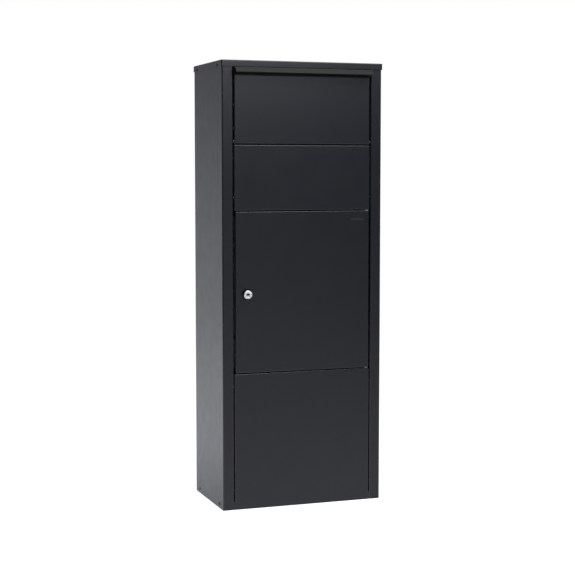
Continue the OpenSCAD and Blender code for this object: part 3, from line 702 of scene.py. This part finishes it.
low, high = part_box("lock_rosette")
middle = (lock_x, (low.y + high.y) / 2, lock_z)
rosette = round_bar("lock_collar", middle, rosette_r, high.y - low.y, "Y")
open_piece(rosette, "EDGE")
pick(
    rosette,
    "edges",
    lambda edge, m: abs(m.y - low.y) < near and from_lock_axis(m) > rim_share * rosette_r,
)
bpy.ops.mesh.bevel(offset=rosette_round, segments=4, affect="EDGES")
bpy.ops.object.mode_set(mode="OBJECT")
bore(rosette, (lock_x, low.y, lock_z), barrel_r, through, "Y", corners=96)
finish_piece(rosette, rosette_black, "door", "lock_rosette")

low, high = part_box("lock_plug")
plug_end = low.y + plug_len
middle = (lock_x, (low.y + plug_end) / 2, lock_z)
plug = round_bar("lock_barrel_plug", middle, plug_r, plug_len, "Y")
open_piece(plug, "FACE")
pick(plug, "faces", front_face)
bpy.ops.mesh.inset(thickness=plug_rim_w, depth=plug_rim_h)
bpy.ops.mesh.inset(thickness=plug_ring, depth=0)
bpy.ops.mesh.inset(thickness=plug_dish_w, depth=-plug_dish_d)
pick(plug, "faces", rear_face)
bpy.ops.mesh.inset(thickness=plug_r - tail_r, depth=0)
bpy.ops.mesh.extrude_region_move(TRANSFORM_OT_translate={"value": (0, high.y - plug_end, 0)})
bpy.ops.object.mode_set(mode="OBJECT")
slot_low = (lock_x - key_slot_w / 2, low.y - cut_past, lock_z - key_slot_h / 2)
slot_high = (lock_x + key_slot_w / 2, low.y + key_slot_d, lock_z + key_slot_h / 2)
slot_cut = block("slot_cut", slot_low, slot_high, 0)
apply_modifier(plug, "BOOLEAN", object=slot_cut, operation="DIFFERENCE", solver="EXACT")
bpy.data.objects.remove(slot_cut)
bore(plug, (lock_x, low.y, lock_z), key_round_r, 2 * key_slot_d, "Y", corners=32)
# Painted shade on the key slot's walls, which the metal darkens to near black.
mark_painted_shade(plug, slot_wall)
finish_piece(plug, nickel, "lock_rotor", "lock_plug")

# ---------------------------------------------------------------------------------------------
# Side rivets: black blind rivets with domed heads and a small mandrel dimple, two at the foot of
# each side into the base walls, and two in each skirt of the lid.
# ---------------------------------------------------------------------------------------------
rivet_head_r = 0.0034
rivet_head_h = 0.0013
rivet_round = 0.0010  # how far the head's edge is rounded into a dome
dimple_in = 0.0012  # from the rounded edge in to the mandrel's dimple
dimple_w = 0.0002
dimple_d = 0.0005

rivet_black = coating(
    "rivet_black",
    dark=(0.004, 0.004, 0.0045),
    light=(0.007, 0.007, 0.008),
    rubbed=(0.012, 0.012, 0.013),
    rough=(0.50, 0.62),
    peel_size=0.0005,
    peel_depth=0.00001,
    ior=1.15,
)


def side_rivet(name, face_x, y, z):
    """One domed rivet head standing on a side face at face_x, pointing away from the cabinet."""
    out = 1 if face_x > 0 else -1
    outer = face_x + out * rivet_head_h
    middle = ((face_x + outer) / 2, y, z)
    piece = round_bar(name, middle, rivet_head_r, rivet_head_h, "X", corners=40)
    open_piece(piece, "EDGE")
    pick(piece, "edges", lambda edge, m: all(abs(v.co.x - outer) < near for v in edge.verts))
    bpy.ops.mesh.bevel(offset=rivet_round, segments=5, affect="EDGES")
    pick(piece, "faces", lambda face, m: face.normal.x * out > square_on)
    bpy.ops.mesh.inset(thickness=dimple_in, depth=0)
    bpy.ops.mesh.inset(thickness=dimple_w, depth=-dimple_d)
    bpy.ops.object.mode_set(mode="OBJECT")
    return piece


def join(pieces, name):
    """Joins like pieces into one object."""
    bpy.ops.object.select_all(action="DESELECT")
    for piece in pieces:
        piece.select_set(True)
    bpy.context.view_layer.objects.active = pieces[0]
    bpy.ops.object.join()
    pieces[0].name = name
    return pieces[0]


for node in ("lid_rivets", "base_rivets"):
    low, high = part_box(node)
    heads = []
    for x in (low.x + rivet_head_h, high.x - rivet_head_h):
        for y in (low.y + rivet_head_r, high.y - rivet_head_r):
            heads.append(side_rivet(node, x, y, (low.z + high.z) / 2))
    heads = join(heads, f"{node}_heads")
    finish_piece(heads, rivet_black, "root", node)

# ---------------------------------------------------------------------------------------------
# Chute and back ledge: galvanised sheet, cut and folded. The chute's floor is riveted between two
# cheeks that are riveted to the flap, and the ledge is welded across the back.
# ---------------------------------------------------------------------------------------------
galvanised = metal(
    "galvanised_sheet",
    dull=(0.30, 0.31, 0.32),
    bright=(0.46, 0.47, 0.48),
    rough=(0.34, 0.50),
    metallic=0.85,
    lines=(220, 220, 220),
    depth=0.00001,
)

# ---------------------------------------------------------------------------------------------
# Zinc-plated fittings: brackets, plates, nuts, screws and bright rivets, and the lock's cam and
# washer. They are pressed, cut or turned from steel and then plated.
# ---------------------------------------------------------------------------------------------
zinc = metal(
    "zinc_plate",
    dull=(0.42, 0.42, 0.43),
    bright=(0.62, 0.62, 0.64),
    rough=(0.25, 0.38),
    metallic=1.0,
    lines=(500, 500, 500),
    depth=0.00001,
)

# ---------------------------------------------------------------------------------------------
# Door pins: headed steel pins, turned and ground smooth, that stand in the hinge brackets and run
# in the door's bushes.
# ---------------------------------------------------------------------------------------------
pin_steel = metal(
    "ground_pin_steel",
    dull=(0.52, 0.52, 0.54),
    bright=(0.72, 0.72, 0.74),
    rough=(0.16, 0.26),
    metallic=1.0,
    lines=(900, 900, 900),
    depth=0.000005,
)

# ---------------------------------------------------------------------------------------------
# Mats, buffers and stop pads: moulded black rubber with a fine grain, bonded where parcels slide
# and where the door and the flap come to rest.
# ---------------------------------------------------------------------------------------------
rubber = coating(
    "moulded_rubber",
    dark=(0.010, 0.010, 0.010),
    light=(0.020, 0.020, 0.020),
    rubbed=(0.05, 0.05, 0.05),
    rough=(0.72, 0.86),
    peel_size=0.0011,
    peel_depth=0.00012,
)

# ---------------------------------------------------------------------------------------------
# Bushes: moulded nylon rings, natural white in the door and black in the flap's cheeks, pressed
# in so that the steel pins run quietly.
# ---------------------------------------------------------------------------------------------
nylon = coating(
    "natural_nylon",
    dark=(0.40, 0.40, 0.38),
    light=(0.50, 0.50, 0.47),
    rubbed=(0.36, 0.36, 0.34),
    rough=(0.35, 0.45),
    peel_size=0.0009,
    peel_depth=0.00003,
)
nylon_black = coating(
    "black_nylon",
    dark=(0.010, 0.010, 0.010),
    light=(0.016, 0.016, 0.016),
    rubbed=(0.020, 0.020, 0.020),
    rough=(0.40, 0.50),
    peel_size=0.0009,
    peel_depth=0.00003,
)

# ---------------------------------------------------------------------------------------------
# Badge: a plain pill of dark enamelled metal with nothing on it, bonded near the door's top right
# corner.
# ---------------------------------------------------------------------------------------------
badge_finish = coating(
    "badge_enamel",
    dark=(0.022, 0.022, 0.024),
    light=(0.028, 0.028, 0.030),
    rubbed=(0.06, 0.06, 0.06),
    rough=(0.30, 0.36),
    peel_size=0.0012,
    peel_depth=0.00002,
)

# ---------------------------------------------------------------------------------------------
# CAD pieces: those not replaced above keep the CAD's shapes. Each takes the finish that its slot
# names in the record.
# ---------------------------------------------------------------------------------------------
finishes = {
    "powder_coat": powder_coat,
    "galvanised_sheet": galvanised,
    "zinc_plate": zinc,
    "bright_fixings": zinc,
    "pin_steel": pin_steel,
    "black_fixings": rivet_black,
    "rubber": rubber,
    "nylon": nylon,
    "nylon_black": nylon_black,
    "rosette_black": rosette_black,
    "badge_enamel": badge_finish,
    "lock_chrome": chrome,
    "plug_nickel": nickel,
    "rail_aluminium": rail_finish,
}
for part in frame["record"]["subparts"]:
    node = frame["nodes"][part["node"]]
    for holder in node.material_slots:
        holder.material = finishes[part["material_slot"]]

# ---------------------------------------------------------------------------------------------
# Studio floor: a round matt sheet of pale paper under the cabinet. It glows softly, more behind
# the cabinet than in front of it, and the camera sees it as plain white.
# ---------------------------------------------------------------------------------------------
floor_r = 4.0
floor_drop = 0.0005  # how far it lies below the cabinet's underside
floor_paint = (0.60, 0.60, 0.60, 1)
floor_rough = 0.8
floor_glow_near = 0.75  # the floor's own light in front of the cabinet
floor_glow_far = 1.45  # and behind it
floor_glow_seen = 1.0  # and as the camera sees it
room_tint = (0.955, 0.975, 1.04, 1)  # the light is a little cool
back_left = (-0.342, 0.940, 0)

scene = bpy.context.scene
scene.view_settings.view_transform = "Standard"
scene.view_settings.look = "None"

bpy.ops.object.select_all(action="DESELECT")
bpy.ops.mesh.primitive_circle_add(
    vertices=96, radius=floor_r, fill_type="NGON", location=(0, 0, -floor_drop)
)
floor = bpy.context.object
floor.name = "studio_floor"
floor_finish = bpy.data.materials.new("studio_floor")
floor_finish.use_nodes = True
floor_tree = floor_finish.node_tree
floor_shader = floor_tree.nodes["Principled BSDF"]
floor_shader.inputs["Base Color"].default_value = floor_paint
floor_shader.inputs["Roughness"].default_value = floor_rough
floor_shader.inputs["Emission Color"].default_value = room_tint
floor.data.materials.append(floor_finish)


def faces_way(tree, source, way, start, full):
    """0 to 1 as a direction or place goes from start to full along a way."""
    along = tree.nodes.new("ShaderNodeVectorMath")
    along.operation = "DOT_PRODUCT"
    along.inputs[1].default_value = way
    ramp = tree.nodes.new("ShaderNodeMapRange")
    ramp.interpolation_type = "SMOOTHSTEP"
    ramp.inputs["From Min"].default_value = start
    ramp.inputs["From Max"].default_value = full
    tree.links.new(source, along.inputs[0])
    tree.links.new(along.outputs["Value"], ramp.inputs["Value"])
    return ramp.outputs["Result"]


floor_place = floor_tree.nodes.new("ShaderNodeTexCoord")
floor_rays = floor_tree.nodes.new("ShaderNodeLightPath")
pool = faces_way(floor_tree, floor_place.outputs["Object"], back_left, start=-0.4, full=1.2)
floor_glow = between(floor_tree, pool, floor_glow_near, floor_glow_far)
floor_level = between(floor_tree, floor_rays.outputs["Is Camera Ray"], floor_glow, floor_glow_seen)
floor_tree.links.new(floor_level, floor_shader.inputs["Emission Strength"])

# ---------------------------------------------------------------------------------------------
# Room: what the coat and the lock reflect. It is dim, with a brighter backdrop at the back left
# and a dark card at each side, so that rounded edges read dark. The camera sees plain white.
# ---------------------------------------------------------------------------------------------
room_low = 0.10  # the room's light below the horizon
room_high = 0.045  # and above it
backdrop_low = 1.1  # the backdrop's light below the horizon
backdrop_high = 0.2  # and above it
room_cards = 0  # the dark cards give none
up = (0, 0, 1)
card_left = (-0.954, -0.301, 0)
card_right = (0.954, -0.301, 0)
paper_white = (1, 1, 1, 1)

world = bpy.data.worlds.new("studio")
scene.world = world
world.use_nodes = True
room = world.node_tree
around = room.nodes["Background"]
around.inputs["Color"].default_value = room_tint
seen = room.nodes.new("ShaderNodeBackground")
seen.inputs["Color"].default_value = paper_white
which = room.nodes.new("ShaderNodeMixShader")
rays = room.nodes.new("ShaderNodeLightPath")
direction = room.nodes.new("ShaderNodeTexCoord")
looking = direction.outputs["Generated"]
upward = faces_way(room, looking, up, start=-0.12, full=0.14)
backdrop = faces_way(room, looking, back_left, start=0.72, full=0.96)
low_level = between(room, backdrop, room_low, backdrop_low)
high_level = between(room, backdrop, room_high, backdrop_high)
plain_level = between(room, upward, low_level, high_level)
cards = room.nodes.new("ShaderNodeMath")
cards.operation = "MAXIMUM"
room.links.new(faces_way(room, looking, card_left, start=0.80, full=0.94), cards.inputs[0])
room.links.new(faces_way(room, looking, card_right, start=0.78, full=0.94), cards.inputs[1])
level = between(room, cards.outputs["Value"], plain_level, room_cards)
room.links.new(level, around.inputs["Strength"])
room.links.new(rays.outputs["Is Camera Ray"], which.inputs["Fac"])
room.links.new(around.outputs["Background"], which.inputs[1])
room.links.new(seen.outputs["Background"], which.inputs[2])
room.links.new(which.outputs["Shader"], room.nodes["World Output"].inputs["Surface"])

# ---------------------------------------------------------------------------------------------
# Lights: two long soft boxes in front of the cabinet's upper half, a small card low in front that
# the lock reflects, and a wide soft box overhead. The camera sees none of them.
# ---------------------------------------------------------------------------------------------


def soft_light(name, place_at, aim, size, power):
    """A soft rectangular light at a place, aimed at a point and unseen by the camera."""
    bpy.ops.object.light_add(type="AREA", location=place_at)
    lamp = bpy.context.object
    lamp.name = name
    lamp.data.shape = "RECTANGLE"
    lamp.data.size = size[0]
    lamp.data.size_y = size[1]
    lamp.data.energy = power
    lamp.data.color = room_tint[:3]
    lamp.rotation_euler = (Vector(aim) - Vector(place_at)).to_track_quat("-Z", "Y").to_euler()
    lamp.visible_camera = False


soft_light(
    "key",
    place_at=(0.12, -1.75, 1.8),
    aim=(0, -0.15, 1.35),
    size=(1.2, 0.3),
    power=8.6,
)
soft_light(
    "strip",
    place_at=(0.40, -0.95, 2.35),
    aim=(0, -0.15, 1.1),
    size=(1.4, 0.5),
    power=16,
)
soft_light(
    "lock_card",
    place_at=(0.473, -2.19, 0.476),
    aim=(lock_x, -0.16, lock_z),
    size=(0.30, 0.30),
    power=0.43,
)
soft_light(
    "top",
    place_at=(0, -0.3, 3.4),
    aim=(0, -0.3, 0),
    size=(2.4, 2.4),
    power=25,
)

# ---------------------------------------------------------------------------------------------
# Camera: a long lens in front and to the left, level with the middle panel and looking slightly
# down, so that the cabinet's front and left side both show.
# ---------------------------------------------------------------------------------------------
camera_place = (-1.4888, -4.2150, 1.0390)
camera_pitch = 4.744  # degrees below level
camera_yaw = 19.484  # degrees to the right of the cabinet's own depth axis
camera_lens = 88.15  # millimetres
camera_sensor = 36  # width in millimetres

camera_data = bpy.data.cameras.new("camera")
camera = bpy.data.objects.new("camera", camera_data)
scene.collection.objects.link(camera)
camera.location = camera_place
camera.rotation_euler = (math.radians(90 - camera_pitch), 0, math.radians(-camera_yaw))
camera_data.sensor_width = camera_sensor
camera_data.lens = camera_lens
scene.camera = camera
